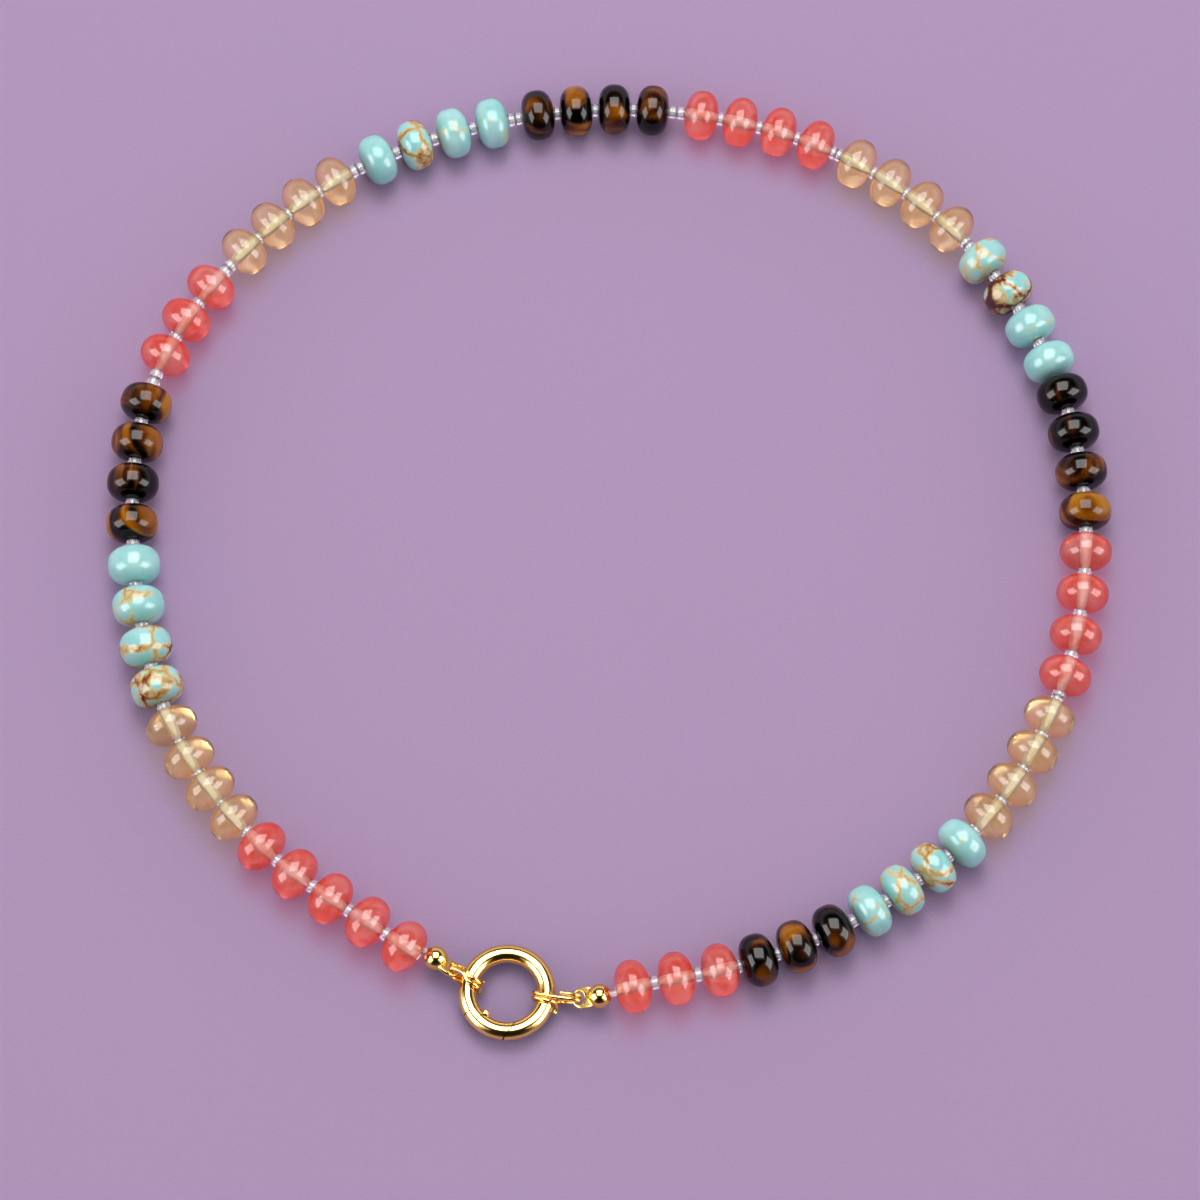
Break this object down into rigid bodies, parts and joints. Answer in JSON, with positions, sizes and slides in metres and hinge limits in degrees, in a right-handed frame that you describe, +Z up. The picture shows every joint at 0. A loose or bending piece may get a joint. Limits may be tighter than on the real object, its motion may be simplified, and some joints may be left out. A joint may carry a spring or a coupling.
{
  "type": "beaded gemstone strand necklace",
  "caption": "Closed loop of polished rondelle beads in coral, citrine, turquoise and brown runs with clear spacers, and a gold ring clasp whose spring gate swings inwards",
  "frame": {"origin": "middle of the necklace's outline, on the surface it lies on", "axes": "+Z up out of the loop, -Y towards the clasp, +X to the right of the loop"},
  "size_m": [0.154, 0.155, 0.008],
  "materials": {
    "coral": "polished see-through coral glass",
    "citrine": "faceted pale champagne quartz",
    "turquoise": "polished opaque aqua stone, some with brown veins",
    "tigers_eye": "polished dark brown banded stone",
    "gold": "polished gold plate"
  },
  "bodies": {
    "strand": {"coral_beads_1": "coral", "citrine_beads_1": "citrine", "turquoise_beads_1": "turquoise", "tigers_eye_beads_1": "tigers_eye", "coral_beads_2": "coral", "citrine_beads_2": "citrine", "turquoise_beads_2": "turquoise", "tigers_eye_beads_2": "tigers_eye", "coral_beads_3": "coral", "citrine_beads_3": "citrine", "turquoise_beads_3": "turquoise", "tigers_eye_beads_3": "tigers_eye", "coral_beads_4": "coral", "citrine_beads_4": "citrine", "turquoise_beads_4": "turquoise", "tigers_eye_beads_4": "tigers_eye", "coral_beads_5": "coral", "clasp_ring": "gold", "link_left": "gold", "link_right": "gold", "end_ball_left": "gold", "end_ball_right": "gold"},
    "gate": {"clasp_gate": "gold"}
  },
  "joints": [
    {"name": "gate_hinge", "type": "hinge", "parent": "strand", "child": "gate", "pos_m": [-0.01804, -0.0735, 0.00245], "axis": [0, 0, 1], "range_deg": [0, 30], "stiffness_Nm_per_rad": 0.002, "springref_deg": -8.59}
  ]
}
